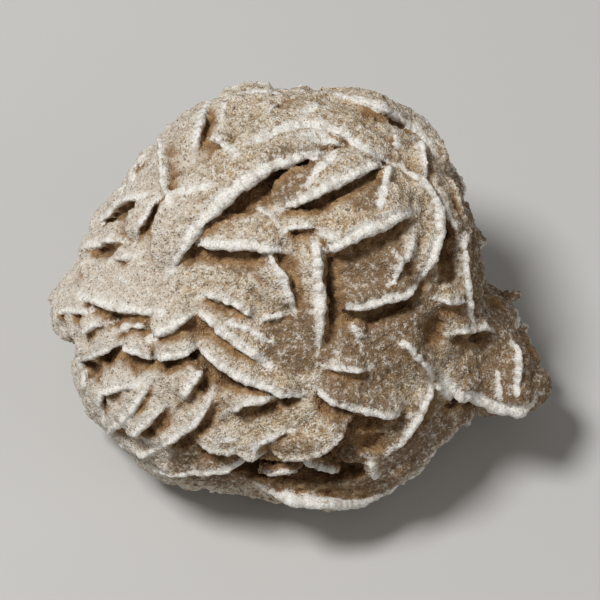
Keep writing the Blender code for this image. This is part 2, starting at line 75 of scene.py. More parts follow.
# Grid middle, height over the drawing plane, half sizes along, across and outward, and turn in degrees.
LUMPS = {
    "lobe_root": ((451, 330), -7.0, (12.0, 8.2, 13.0), -50.0),
    "right_lobe": ((477, 353), -6.0, (11.4, 6.8, 11.5), -42.0),
    "lobe_tip": ((518, 383), -5.0, (4.8, 4.2, 7.5), -20.0),
    "lower_right": ((424, 400), -3.0, (8.0, 6.5, 9.0), 40.0),
    "left_tip": ((74, 315), -1.0, (3.6, 4.6, 6.0), 20.0),
    "rosette": ((350, 235), 10.0, (13.0, 11.0, 8.5), -30.0),
    "near_ledge": ((300, 420), 1.0, (19.0, 7.0, 9.0), 4.0),
    "left_ledge": ((130, 380), -2.0, (9.0, 7.0, 10.0), -35.0),
}
UNDERSIDE = (Vector((-3.0, 5.0, 16.0)), (29.0, 26.0, 18.5))
SWELLS = ((1.5, 17.0), (0.7, 7.0))
SWELL_SEED = 4
MASS_GRAIN = 0.5


def drawn(x, y, toward=0.0):
    """The place of a grid point, raised towards the eye from the drawing plane."""
    across, up = (x - GRID_MIDDLE) * STEP, (GRID_MIDDLE - y) * STEP
    return HEART + RIGHT * across + UPWARD * up + OUTWARD * toward


def smooth_line(points, spacing, closed=False):
    """Points at even spacing along a Catmull-Rom curve through points."""
    count = len(points)
    spans = count if closed else count - 1

    def at(index):
        return points[index % count] if closed else points[min(max(index, 0), count - 1)]

    dense = []
    for i in range(spans):
        before, start, end, after = at(i - 1), at(i), at(i + 1), at(i + 2)
        for k in range(8):
            t = k / 8
            dense.append(
                0.5 * (2 * start + (end - before) * t
                       + (2 * before - 5 * start + 4 * end - after) * t**2
                       + (3 * start - before - 3 * end + after) * t**3)
            )
    dense.append(at(spans).copy())
    length = sum((b - a).length for a, b in zip(dense, dense[1:]))
    pieces = max(3, round(length / spacing))
    line, walked, target = [dense[0]], 0.0, length / pieces
    for a, b in zip(dense, dense[1:]):
        span = (b - a).length
        while walked + span >= target - 1e-6 and len(line) < pieces:
            line.append(a.lerp(b, (target - walked) / span))
            target += length / pieces
        walked += span
    line.append(dense[-1])
    return line


def outline_radius():
    """The mass's outline as a function of the angle round MASS_MIDDLE."""
    corners = [Vector((x - MASS_MIDDLE[0], MASS_MIDDLE[1] - y)) * STEP for x, y in OUTLINE]
    ring = smooth_line(corners, spacing=1.0, closed=True)
    polar = sorted((math.atan2(p.y, p.x), p.length) for p in ring)
    angles, lengths = zip(*polar)
    return lambda angle: float(np.interp(angle, angles, lengths, period=2 * math.pi))


def swollen(place):
    """A place moved by the body's uneven swelling."""
    moved = place.copy()
    for swell, size in SWELLS:
        moved += noise.noise_vector(place / size) * swell
    return moved


def mesh_object(name, bm):
    mesh = bpy.data.meshes.new(name)
    bm.to_mesh(mesh)
    bm.free()
    piece = bpy.data.objects.new(name, mesh)
    bpy.context.scene.collection.objects.link(piece)
    return piece


def evaluated(piece):
    """The piece's mesh with its modifiers applied; the modifiers are taken off."""
    bpy.context.view_layer.update()
    graph = bpy.context.evaluated_depsgraph_get()
    old, piece.data = piece.data, bpy.data.meshes.new_from_object(piece.evaluated_get(graph))
    piece.modifiers.clear()
    bpy.data.meshes.remove(old)
    return piece


def remeshed(piece, grain):
    """Grows everything in the piece's mesh together in one skin of that grain."""
    skin = piece.modifiers.new("grown_together", "REMESH")
    skin.mode = "VOXEL"
    skin.voxel_size = grain
    return evaluated(piece)


def skin_tree(piece):
    """The piece's skin, ready for rays and nearest places."""
    bm = bmesh.new()
    bm.from_mesh(piece.data)
    tree = BVHTree.FromBMesh(bm)
    bm.free()
    return tree


def heart():
    """The mass, its lumps and the underside in one mesh."""
    radius, middle = outline_radius(), drawn(*MASS_MIDDLE)
    bm = bmesh.new()
    bmesh.ops.create_uvsphere(bm, u_segments=72, v_segments=36, radius=1.0)
    for vert in bm.verts:
        flat, pole = math.hypot(vert.co.x, vert.co.y), vert.co.z
        angle = math.atan2(vert.co.y, vert.co.x)
        direction = RIGHT * math.cos(angle) + UPWARD * math.sin(angle)
        depth = MASS_FRONT if pole > 0 else MASS_BACK
        rise = math.copysign(depth * abs(pole) ** MASS_FULLNESS, pole)
        vert.co = middle + direction * radius(angle) * flat**MASS_FULLNESS + OUTWARD * rise
    for (x, y), toward, half_sizes, degrees in LUMPS.values():
        turn = math.radians(degrees)
        along = RIGHT * math.cos(turn) + UPWARD * math.sin(turn)
        axes = Matrix((along, OUTWARD.cross(along), OUTWARD)).transposed().to_4x4()
        place = Matrix.Translation(drawn(x, y, toward)) @ axes @ Matrix.Diagonal((*half_sizes, 1.0))
        bmesh.ops.create_icosphere(bm, subdivisions=4, radius=1.0, matrix=place)
    middle, half_sizes = UNDERSIDE
    place = Matrix.Translation(middle) @ Matrix.Diagonal((*half_sizes, 1.0))
    bmesh.ops.create_icosphere(bm, subdivisions=4, radius=1.0, matrix=place)
    for vert in bm.verts:
        vert.co = swollen(vert.co)
    return mesh_object("rose_heart", bm)


noise.seed_set(SWELL_SEED)
rose = remeshed(heart(), MASS_GRAIN)
heart_skin = skin_tree(rose)

# --- Blades ------------------------------------------------------------------------------------------
# Each crystal is a thin lens of gypsum that shows as a rim. Sand slopes up to the rim from behind, and in
# front of it the blade overhangs a hollow. Rims are chalky where the gypsum is bare.
# Height, rim's width, depth of bare gypsum, chalkiness, lean in degrees, reach of the sand behind and in
# front, and the hollow in front: its depth, width and undercut.
KIND_SIZES = ("height", "rim", "bare", "chalk", "lean", "aprons", "hollow")
KINDS = {kind: dict(zip(KIND_SIZES, sizes)) for kind, *sizes in [
    ("fin", 1.4, 0.65, 0.9, 1.0, 0, (1.5, 1.5), (0.0, 0.0, 0.0)),
    ("blade", 1.7, 0.8, 1.0, 1.0, 8, (3.2, 0.5), (1.2, 2.8, 0.0)),
    ("bold", 1.8, 1.2, 1.1, 1.0, 8, (3.4, 0.5), (1.3, 3.0, 0.0)),
    ("hood", 2.3, 1.7, 1.3, 1.0, 16, (4.6, 0.0), (1.3, 5.2, 0.0)),
    ("lip", 2.0, 1.3, 1.3, 1.0, 26, (4.8, 0.0), (2.6, 5.0, 0.4)),
    ("ledge", 2.4, 1.1, 1.1, 0.65, 26, (6.0, 0.0), (3.2, 6.2, 0.4)),
    ("slab", 3.0, 2.3, 5.0, 1.0, 0, (1.0, 0.6), (0.0, 0.0, 0.0)),
    ("brink", 2.1, 2.0, 2.2, 1.0, 30, (4.8, 0.0), (2.8, 5.0, 0.4)),
    ("plate", 3.4, 0.9, 1.2, 0.85, 20, (3.6, 0.2), (2.8, 4.6, 0.3)),
    ("edge", 1.15, 0.55, 0.7, 0.4, 8, (2.1, 0.3), (0.8, 1.8, 0.0)),
    ("sliver", 0.6, 0.7, 1.2, 0.85, 10, (1.0, 0.2), (0.0, 0.0, 0.0)),
    ("welt", 0.8, 0.55, 0.7, 0.85, 4, (1.5, 0.8), (0.4, 1.2, 0.0)),
]}
# A recess's line, its half width and its depth.
RECESSES = [
    ([(206, 464), (238, 468), (280, 474), (330, 475), (384, 466)], 2.6, 5.6),
    ([(352, 438), (378, 448), (398, 436)], 2.0, 2.8),
    ([(116, 424), (134, 446), (160, 458)], 1.8, 2.6),
    ([(345, 318), (380, 310), (416, 298)], 2.4, 3.0),
    ([(452, 196), (455, 230), (450, 262), (444, 292)], 2.8, 3.4),
    ([(436, 312), (432, 330), (440, 352)], 2.6, 2.6),
    ([(446, 402), (470, 411), (500, 419)], 2.2, 3.6),
    ([(334, 418), (362, 424), (394, 425)], 2.2, 3.0),
    ([(154, 226), (160, 214)], 1.6, 1.6),
]
SHOW_BLADES = [
    ("hood", 1.15, [
        (171, 273), (180, 250), (197, 225), (215, 206),
        (238, 186), (263, 171), (290, 159), (332, 153),
    ]),
    ("blade", 1.0, [
        (233, 151), (254, 146), (272, 136), (290, 128),
        (316, 125), (341, 135), (362, 150), (398, 166),
    ]),
    ("blade", 0.8, [(294, 125), (303, 115), (313, 109), (324, 109)]),
    ("fin", 1.2, [(207, 104), (222, 97), (242, 94), (272, 95), (300, 97), (322, 97)]),
    ("blade", 1.0, [
        (318, 97), (346, 99), (360, 107), (380, 112),
        (400, 122), (417, 134), (430, 148), (437, 162),
    ]),
    ("bold", 0.9, [(195, 157), (197, 139), (203, 120), (208, 106)]),
    ("fin", 1.1, [(211, 138), (226, 148), (239, 165)]),
    ("fin", 1.35, [(160, 140), (165, 152), (165, 166), (164, 187), (168, 200), (177, 214)]),
    ("blade", 0.8, [(135, 241), (142, 223), (151, 209), (163, 196)]),
    ("blade", 0.9, [(102, 232), (106, 219), (117, 209), (131, 200), (158, 194)]),
    ("blade", 0.8, [(172, 194), (201, 189), (225, 186)]),
    ("hood", 0.85, [(190, 245), (218, 243), (245, 244), (268, 247), (290, 252)]),
    ("blade", 1.0, [(293, 312), (290, 296), (284, 276), (277, 262), (262, 253)]),
    ("bold", 1.2, [(318, 350), (320, 318), (318, 290), (318, 258), (314, 232)]),
    ("hood", 1.0, [(321, 255), (333, 244), (355, 235), (373, 225), (394, 216), (415, 212)]),
    ("hood", 0.9, [(280, 212), (298, 201), (325, 189), (346, 179), (362, 168), (384, 165)]),
    ("fin", 1.1, [(376, 212), (384, 194), (390, 178), (388, 166)]),
    ("fin", 1.1, [(306, 193), (314, 185), (325, 169), (334, 157)]),
    ("fin", 0.45, [(254, 208), (266, 214), (279, 226)]),
    ("blade", 0.7, [(283, 232), (298, 226), (320, 227)]),
    ("blade", 0.8, [(383, 281), (404, 276), (401, 260), (393, 250)]),
    ("lip", 0.95, [(339, 310), (369, 301), (396, 292), (421, 282)]),
    ("hood", 0.9, [(421, 282), (427, 258), (436, 240), (438, 222), (434, 202), (420, 185), (402, 166)]),
    ("lip", 0.8, [(314, 390), (334, 399), (351, 405), (378, 410), (406, 413)]),
    ("bold", 0.9, [(389, 454), (401, 442), (410, 428), (419, 412), (427, 396), (433, 380)]),
    ("fin", 1.0, [(396, 341), (407, 346), (416, 357), (433, 377)]),
    ("blade", 0.8, [(323, 366), (346, 371), (370, 368)]),
    ("blade", 1.0, [(449, 334), (460, 330), (476, 327), (489, 330)]),
    ("bold", 0.8, [(470, 323), (465, 294), (462, 262), (463, 232)]),
    ("edge", 1.2, [(463, 236), (460, 210), (451, 188), (440, 170)]),
    ("blade", 0.8, [(426, 177), (423, 158), (416, 141)]),
    ("brink", 1.15, [(440, 380), (459, 386), (476, 391), (494, 397), (512, 401), (528, 402), (540, 397)]),
    ("blade", 1.0, [(514, 392), (517, 370), (517, 355), (512, 341)]),
    ("blade", 0.8, [(436, 300), (449, 303), (463, 300)]),
    ("lip", 0.7, [(58, 308), (64, 309), (77, 310), (93, 309)]),
    ("bold", 1.0, [(81, 295), (95, 304), (120, 307), (140, 310), (167, 314)]),
    ("blade", 0.7, [(84, 334), (92, 326), (111, 323)]),
    ("welt", 1.3, [(118, 329), (135, 327), (152, 328)]),
    ("bold", 1.0, [(152, 337), (163, 331), (176, 323), (196, 312)]),
    ("bold", 1.0, [(197, 312), (207, 319), (219, 328), (236, 341), (254, 354), (271, 366)]),
    ("lip", 0.75, [(82, 355), (94, 351), (110, 346), (126, 342)]),
    ("lip", 0.75, [(122, 342), (138, 349), (158, 357)]),
    ("lip", 0.85, [(154, 357), (176, 351), (199, 345)]),
    ("lip", 0.9, [(195, 346), (219, 360), (236, 370), (263, 383), (285, 391), (305, 398)]),
    ("blade", 0.8, [(200, 297), (228, 297), (240, 306), (256, 320)]),
    ("blade", 0.7, [(229, 322), (250, 330), (272, 341)]),
    ("blade", 1.0, [(107, 390), (122, 387), (140, 384)]),
    ("hood", 0.75, [(107, 430), (124, 416), (138, 404), (147, 392), (149, 383)]),
    ("blade", 1.0, [(135, 434), (147, 421), (165, 407)]),
    ("blade", 1.1, [(181, 400), (186, 392), (193, 381), (205, 367)]),
    ("blade", 1.1, [(160, 446), (179, 435), (196, 423), (206, 410), (212, 395)]),
    ("blade", 1.0, [(229, 411), (242, 403), (256, 399), (277, 396)]),
    ("blade", 0.8, [(257, 443), (272, 435), (291, 430)]),
    ("ledge", 1.0, [(195, 442), (227, 442), (250, 446), (269, 452)]),
    ("ledge", 1.0, [(269, 452), (284, 446), (309, 449), (325, 441), (338, 428), (350, 415)]),
    ("lip", 0.8, [(150, 460), (173, 468), (201, 468), (227, 462), (255, 456)]),
    ("sliver", 1.0, [(259, 471), (275, 475), (290, 472), (301, 466)]),
    ("sliver", 1.0, [(298, 457), (316, 466), (340, 473)]),
    ("slab", 1.0, [(262, 486), (286, 493), (320, 497), (352, 495), (384, 487), (410, 474)]),
    ("blade", 1.0, [(406, 474), (414, 466), (424, 453), (430, 438)]),
    ("blade", 0.9, [(84, 252), (99, 244), (126, 242)]),
    ("fin", 1.0, [(134, 184), (141, 164), (156, 142)]),
    ("blade", 0.9, [(112, 428), (106, 412), (104, 396), (105, 381)]),
    ("fin", 1.1, [(118, 434), (128, 446), (143, 452), (158, 448)]),
    ("fin", 1.0, [(92, 392), (85, 374), (86, 358)]),
]
# Low ridges where a blade's edge only just breaks the sand.
WELTS = [
    [(262, 155), (279, 144), (299, 138), (325, 135), (338, 140)],
    [(285, 147), (312, 141), (332, 143), (346, 149)],
    [(222, 128), (226, 112), (226, 101)],
    [(394, 135), (396, 151)],
    [(437, 185), (448, 219), (459, 237)],
    [(322, 235), (341, 236)],
    [(408, 265), (411, 245), (414, 232)],
    [(257, 323), (272, 317), (288, 314)],
    [(211, 439), (225, 436), (238, 432)],
    [(351, 321), (355, 334), (358, 342)],
    [(499, 396), (498, 376)],
    [(433, 386), (442, 392), (452, 400)],
    [(369, 459), (372, 468), (375, 478)],
    [(113, 261), (136, 256)],
    [(120, 276), (127, 289)],
    [(265, 119), (272, 110), (279, 105)],
    [(127, 184), (128, 199)],
]
# Rounded knobs on the edge: place on the grid and radius.
KNOBS = [((94, 228), 0.75), ((83, 243), 0.7), ((446, 163), 0.8), ((101, 214), 0.5), ((62, 318), 0.6)]
HIDDEN_SEED = 11
HIDDEN_SITES = 300
HIDDEN_FACING = -0.02
EDGE_BAND = (-1.5, 2.4)
EDGE_FACING = 0.5
HIDDEN_LEAST_RISE = 2.6
HIDDEN_LENGTH = (9.0, 22.0)
HIDDEN_WANDER = 28.0
HIDDEN_CROSSING = 0.34
HIDDEN_KINDS = ("plate", "plate", "hood", "lip", "blade")
ROOT = 4.0
PATH_STEP = 1.5
FINE_STEP = 0.35
RIM_TURN = 0.65
END_TAPER = 0.18
RIM_TAPER = 0.5
HOLLOW_TAPER = 0.3
END_SINK = 0.9
RIM_WOBBLE = 0.3
RIM_UNEVEN = 0.3
RIM_RAGGED = 0.35
ECHO_SEED = 5
ECHO_COUNTS = (0, 1, 1, 2)
ECHO_OFFSET = (0.5, 1.1)
ECHO_LENGTH = (5, 8)
ECHO_BARE, ECHO_CHALK, ECHO_APRONS = 0.5, 0.4, (1.3, 0.5)
CARVE_GRAIN = 0.34
SKIN_GRAIN = 0.21


def drop(x, y):
    """Where the line of sight through a grid point meets the heart, and the normal there."""
    point = drawn(x, y)
    spot, normal, _, _ = heart_skin.ray_cast(EYE, (point - EYE).normalized())
    if spot is None:
        spot, normal, _, _ = heart_skin.find_nearest(point)
    return spot, normal


def averaged(values, reach):
    """Each value averaged with its neighbours on both sides; the ends keep their place."""
    count = len(values)
    smooth = []
    for i in range(count):
        near = min(reach, i, count - 1 - i)
        part = values[i - near: i + near + 1]
        smooth.append(sum(part, Vector((0, 0, 0))) / len(part))
    return smooth


def settled(spots, normals):
    """A rim line evened out, so that a blade neither waves nor twists."""
    line = averaged(spots, 2)
    ways = averaged(averaged(normals, 3), 3)
    ways[0] = ways[0] + 2 * ways[1]
    ways[-1] = ways[-1] + 2 * ways[-2]
    return line, [way.normalized() for way in ways]


def drawn_rim(points):
    """A drawn rim's line on the heart; it stands between the surface's way up and the show face's."""
    dropped = [drop(*p) for p in smooth_line([Vector(p) for p in points], PATH_STEP / STEP)]
    return settled([spot for spot, _ in dropped], [normal.lerp(OUTWARD, RIM_TURN) for _, normal in dropped])


def inside(radius, spot):
    """How far a place is inside the outline, seen from the eye."""
    sight = spot - EYE
    seen = EYE + sight * (SIGHT_DISTANCE / -sight.dot(OUTWARD)) - drawn(*MASS_MIDDLE)
    across, up = seen.dot(RIGHT), seen.dot(UPWARD)
    return radius(math.atan2(up, across)) - math.hypot(across, up)


def hidden_rims():
    """The blades of the sides, back and underside: arcs that run round the rose like petals."""
    radius = outline_radius()
    chance = random.Random(HIDDEN_SEED)
    rims = []
    for i in range(HIDDEN_SITES):
        rise = 1 - 2 * (i + 0.5) / HIDDEN_SITES
        round_angle = i * math.pi * (3 - math.sqrt(5))
        flat = math.sqrt(1 - rise * rise)
        way = Vector((flat * math.cos(round_angle), flat * math.sin(round_angle), rise))
        spot, normal, _, _ = heart_skin.ray_cast(HEART + way * 100, -way)
        turn = math.radians(chance.uniform(-HIDDEN_WANDER, HIDDEN_WANDER))
        if chance.random() < HIDDEN_CROSSING:
            turn += math.radians(chance.choice((-75, 75)))
        bend = chance.uniform(-0.03, 0.03)
        length, kind = chance.uniform(*HIDDEN_LENGTH), chance.choice(HIDDEN_KINDS)
        scale = chance.uniform(0.7, 1.15)
        level = Vector((0, 0, 1)).cross(normal).normalized()
        heading = Matrix.Rotation(turn, 3, normal) @ level
        spots, normals = [], []
        for _ in range(max(4, round(length / PATH_STEP)) + 1):
            spots.append(spot)
            normals.append(normal)
            heading = Matrix.Rotation(bend * PATH_STEP, 3, normal) @ heading
            heading = (heading - normal * heading.dot(normal)).normalized()
            spot, normal, _, _ = heart_skin.find_nearest(spot + heading * PATH_STEP)
        facing = max(n.dot((EYE - s).normalized()) for s, n in zip(spots, normals))
        if min(s.z for s in spots) < HIDDEN_LEAST_RISE or facing > EDGE_FACING:
            continue
        if facing < HIDDEN_FACING:
            rims.append((kind, scale, settled(spots, normals)))
        elif EDGE_BAND[0] < max(inside(radius, s) for s in spots) < EDGE_BAND[1]:
            rims.append(("edge", 1.0, settled(spots, normals)))
    return rims


def fine_rim(rim, spacing):
    """The rim's places, tangents, sides and upward ways at a fine spacing, as arrays."""
    spots, ways = rim
    fine = smooth_line(spots, spacing)
    share = np.linspace(0, len(ways) - 1, len(fine))
    below = np.minimum(share.astype(int), len(ways) - 2)
    part = (share - below)[:, None]
    ways = np.array(ways)
    normals = ways[below] * (1 - part) + ways[below + 1] * part
    fine = np.array(fine)
    tangents = np.gradient(fine, axis=0)
    tangents /= np.linalg.norm(tangents, axis=1)[:, None]
    sides = np.cross(tangents, normals)
    sides /= np.linalg.norm(sides, axis=1)[:, None]
    return fine, tangents, sides, np.cross(sides, tangents)


def fullness(count, taper):
    """0 at a blade's tips, and 1 along its middle from that share of its length on."""
    share = np.linspace(0, 1, count)
    return np.minimum(1.0, np.minimum(share, 1 - share) / taper) ** 0.75


def smoothstep(low, high, value):
    share = np.clip((value - low) / (high - low), 0, 1)
    return share * share * (3 - 2 * share)


def hollow_fall(across):
    """A hollow's depth across it: a steep wall under its blade, then a floor that rises gently."""
    return smoothstep(-0.16, 0.12, across) * (1 - smoothstep(0.35, 1.0, across))


def recess_fall(across):
    """A recess is as deep on both sides of its line."""
    return 1 - smoothstep(0.25, 1.0, abs(across))


def positions(mesh):
    places = np.empty(len(mesh.vertices) * 3, np.float32)
    mesh.vertices.foreach_get("co", places)
    return places.reshape(-1, 3).astype(float)


def carve(piece, grooves):
    """Sinks the skin into each groove: its line, depth, width and fall, and how far it undercuts."""
    places = positions(piece.data)
    deepest = np.zeros(len(places))
    moves = np.zeros_like(places)
    for rim, depth, width, fall, undercut in grooves:
        spots, tangents, sides, ups = fine_rim(rim, 2 * FINE_STEP)
        full = np.maximum(fullness(len(spots), HOLLOW_TAPER), 0.15)
        reach = 1.3 * width
        low, high = spots.min(0) - reach, spots.max(0) + reach
        near = np.flatnonzero(((places > low) & (places < high)).all(1))
        gaps = np.linalg.norm(places[near][:, None] - spots[None], axis=2)
        nearest = gaps.argmin(1)
        away = places[near] - spots[nearest]
        along = abs((away * tangents[nearest]).sum(1))
        wide = width * (0.4 + 0.6 * full[nearest])
        across = (away * sides[nearest]).sum(1) / wide
        deep = depth * full[nearest] * fall(across) * (1 - smoothstep(FINE_STEP, 3 * FINE_STEP, along))
        better = deep > deepest[near]
        chosen, rows = near[better], nearest[better]
        deepest[chosen] = deep[better]
        moves[chosen] = -(ups[rows] + sides[rows] * undercut) * deep[better][:, None]
    piece.data.vertices.foreach_set("co", (places + moves).astype(np.float32).ravel())


def uneven(place, size, seed):
    """A smooth random value from -1 to 1 that changes over that size."""
    return noise.noise(place / size + Vector((seed, seed, seed)))


def blade(bm, kind, scale, rim, number):
    """Lofts one blade and gives back its rim: top places, ways and half thickness."""
    spots, tangents, sides, ups = fine_rim(rim, FINE_STEP)
    count = len(spots)
    lean = math.radians(kind["lean"])
    chalkiness = kind["chalk"] * min(1.0, 0.6 + 0.4 * scale)
    tops, rings, run = [], [], number * 50.0
    for i, (full, wide) in enumerate(zip(fullness(count, END_TAPER), fullness(count, RIM_TAPER))):
        spot, side, up = (Vector(v[i]) for v in (spots, sides, ups))
        spot = spot + side * uneven(spot, 2.6, number) * RIM_WOBBLE
        ragged = RIM_RAGGED * uneven(spot, 0.8, number + 3)
        height = kind["height"] * scale * (1 + RIM_UNEVEN * uneven(spot, 3.4, number + 7)) + 0.4 * ragged
        widening = 1 + 1.5 * RIM_UNEVEN * uneven(spot, 1.9, number + 13) + ragged
        thick = kind["rim"] * min(scale, 1.2) * widening
        out = side * math.sin(lean) + up * math.cos(lean)
        over = side * math.cos(lean) - up * math.sin(lean)
        top = spot + out * (height * full - END_SINK * (1 - full))
        half = thick * (0.18 + 0.26 * wide)
        behind, ahead = (reach * scale * (0.35 + 0.65 * full) for reach in kind["aprons"])
        section = [
            top + over * half * 1.02 - out * thick * 0.25,
            top + over * half * 0.72 + out * thick * 0.10 * full,
            top + out * thick * 0.2 * full,
            top - over * half * 0.72 + out * thick * 0.10 * full,
            top - over * half * 1.02 - out * thick * 0.25,
            top - over * (half * 1.1 + 0.15 * behind) - up * 0.14 * height * full,
            top - over * (half * 1.1 + 0.42 * behind) - up * 0.45 * height * full,
            spot - side * (behind * 0.78 + thick / 2) + up * 0.08 * height,
            spot - side * (behind + thick / 2) - up * 0.5,
            spot - side * (0.5 * behind + thick / 2) - up * ROOT,
            spot + side * (0.35 * thick + 0.5 * ahead) - up * ROOT,
            spot + side * (ahead + 0.45 * thick) - up * 0.4,
            spot + (top - spot) * 0.3 + over * half * 1.1 + side * 0.3 * ahead,
            spot + (top - spot) * 0.7 + over * half * 1.05,
        ]
        rings.append([bm.verts.new(corner) for corner in section])
        run += FINE_STEP
        tops.append((top, over, out, half, chalkiness * (0.6 + 0.4 * full), kind["bare"] * full + 0.2, run))
    for a, b in zip(rings, rings[1:]):
        for j, corner in enumerate(a):
            k = (j + 1) % len(a)
            bm.faces.new((corner, a[k], b[k], b[j]))
    bm.faces.new(rings[0][::-1])
    bm.faces.new(rings[-1])
    return tops


def echoes(rims, skin):
    """Low growth lines on the sand behind the longer blades, side by side with them."""
    chance = random.Random(ECHO_SEED)
    found = []
    for kind, scale, (spots, ways) in rims:
        behind, height = kind["aprons"][0] * scale, kind["height"] * scale
        for _ in range(chance.choice(ECHO_COUNTS)):
            offset = behind * chance.uniform(*ECHO_OFFSET)
            length = chance.randint(*ECHO_LENGTH)
            first = chance.randint(0, max(0, len(spots) - length))
            rim_width, scale_here = chance.uniform(0.3, 0.5), chance.uniform(0.4, 0.9)
            rise = max(0.0, 1 - offset / behind) * height * 0.7 + chance.uniform(0.25, 0.55)
            if len(spots) < ECHO_LENGTH[1] or behind < 2 or kind["bare"] > 1.5:
                continue
            moved = []
            for i in range(first, first + length):
                before, after = spots[max(i - 1, 0)], spots[min(i + 1, len(spots) - 1)]
                side = (after - before).cross(ways[i]).normalized()
                moved.append(skin.find_nearest(spots[i] - side * offset)[:2])
            sizes = (rise / scale_here, rim_width, ECHO_BARE, ECHO_CHALK, kind["lean"], ECHO_APRONS, None)
            found.append((dict(zip(KIND_SIZES, sizes)), scale_here, settled(*zip(*moved))))
    return found


rims = [(KINDS[kind], scale, drawn_rim(line)) for kind, scale, line in SHOW_BLADES]
rims += [(KINDS["welt"], 1.0, drawn_rim(line)) for line in WELTS]
rims += [(KINDS[kind], scale, rim) for kind, scale, rim in hidden_rims()]
grooves = [(drawn_rim(line), depth, half_width, recess_fall, 0.0) for line, half_width, depth in RECESSES]
for kind, scale, rim in rims:
    depth, width, undercut = kind["hollow"]
    if depth:
        grooves.append((rim, depth * scale, width * scale, hollow_fall, undercut))
carve(remeshed(rose, CARVE_GRAIN), grooves)
rims += echoes(rims, skin_tree(rose))

growth = bmesh.new()
growth.from_mesh(rose.data)
rim_tops = []
for number, (kind, scale, rim) in enumerate(rims):
    rim_tops += blade(growth, kind, scale, rim, number)
bmesh.ops.recalc_face_normals(growth, faces=growth.faces[:])
for (x, y), size in KNOBS:
    place = Matrix.Translation(drop(x, y)[0])
    bmesh.ops.create_icosphere(growth, subdivisions=2, radius=size, matrix=place)
growth.to_mesh(rose.data)
growth.free()
remeshed(rose, SKIN_GRAIN)

# --- Skin --------------------------------------------------------------------------------------------
# Sand cemented by gypsum covers everything between the rims: lumpy, pitted and gritty. It is worn flat
# where the rose rests. The skin stands in place of the plain solid.
SKIN_TRIANGLES = 196000
LUMP_SIZE, LUMP_HEIGHT = 2.1, 1.35
GRIT_SIZE, GRIT_HEIGHT = 0.85, 1.15
CHALK_FADE = 2.0
SHADE_RAYS = 14
SHADE_REACH = 5.0
WORN_SHARE, WORN_ROUNDS = 0.5, 1
KEPT_ON_RIMS = 0.85
BROAD_SIZE, GOLD_SIZE, CLUMP_SIZE = 11, 1.3, 1.5
SPECK_SIZE, GRAIN_SIZE, BUMP_SIZE, BUMP_HEIGHT = 0.3, 0.27, 0.3, 0.22
STRIPE_SIZE, BAR_SIZE = 0.5, 1.5
# Paler towards the left, the side that faces the key light: partly paler sand, partly painted light. Its edge
# across in millimetres, and how far the edge wanders.
PALE_AND_LIT_SIDE, PALE_AND_LIT_WANDER = (-6, -28), 26
# Browner towards the right, the side away from the key light: partly brown sand, partly painted shade. Its
# edge across in millimetres, then the size and the reach of the edge's wander.
BROWN_AND_SHADE_SIDE = (17.0, 31.0)
BROWN_AND_SHADE_WANDER = (11.0, 9.0)
# Patches of brown, partly iron-rich sand and partly painted shade in the hollows under the rims and in the
# recess under the near ledge: place on the grid, height over it and reach.
BROWN_AND_SHADE_PATCHES = [
    ((388, 322), 14.0, 11.0), ((350, 275), 17.0, 7.0), ((372, 250), 17.0, 5.0), ((290, 180), 16.0, 5.5),
    ((225, 225), 14.0, 4.5), ((300, 468), 10.0, 9.5), ((215, 462), 8.0, 8.0), ((415, 440), 8.0, 9.0),
    ((350, 430), 12.0, 6.0), ((120, 395), 6.0, 4.0), ((165, 225), 10.0, 3.5), ((245, 262), 16.0, 4.0),
    ((300, 336), 17.0, 7.0), ((350, 388), 15.0, 7.0), ((505, 318), 1.0, 9.0), ((365, 199), 18.0, 4.0),
    ((256, 385), 14.0, 4.0), ((372, 480), 4.0, 6.0),
]


class Value:
    """A node's output that takes part in sums: an expression on values adds its Math nodes."""

    def __init__(self, nodes, socket):
        self.nodes, self.socket = nodes, socket

    def other(self, name):
        """Another output of the same node."""
        return Value(self.nodes, self.socket.node.outputs[name])

    def maths(self, operation, *values):
        return self.nodes.add("ShaderNodeMath", {"operation": operation}, dict(enumerate(values)))

    def __add__(self, other):
        return self.maths("ADD", self, other)

    def __sub__(self, other):
        return self.maths("SUBTRACT", self, other)

    def __rsub__(self, other):
        return self.maths("SUBTRACT", other, self)

    def __mul__(self, other):
        return self.maths("MULTIPLY", self, other)

    def __truediv__(self, other):
        return self.maths("DIVIDE", self, other)

    def __rtruediv__(self, other):
        return self.maths("DIVIDE", other, self)

    __radd__, __rmul__ = __add__, __mul__


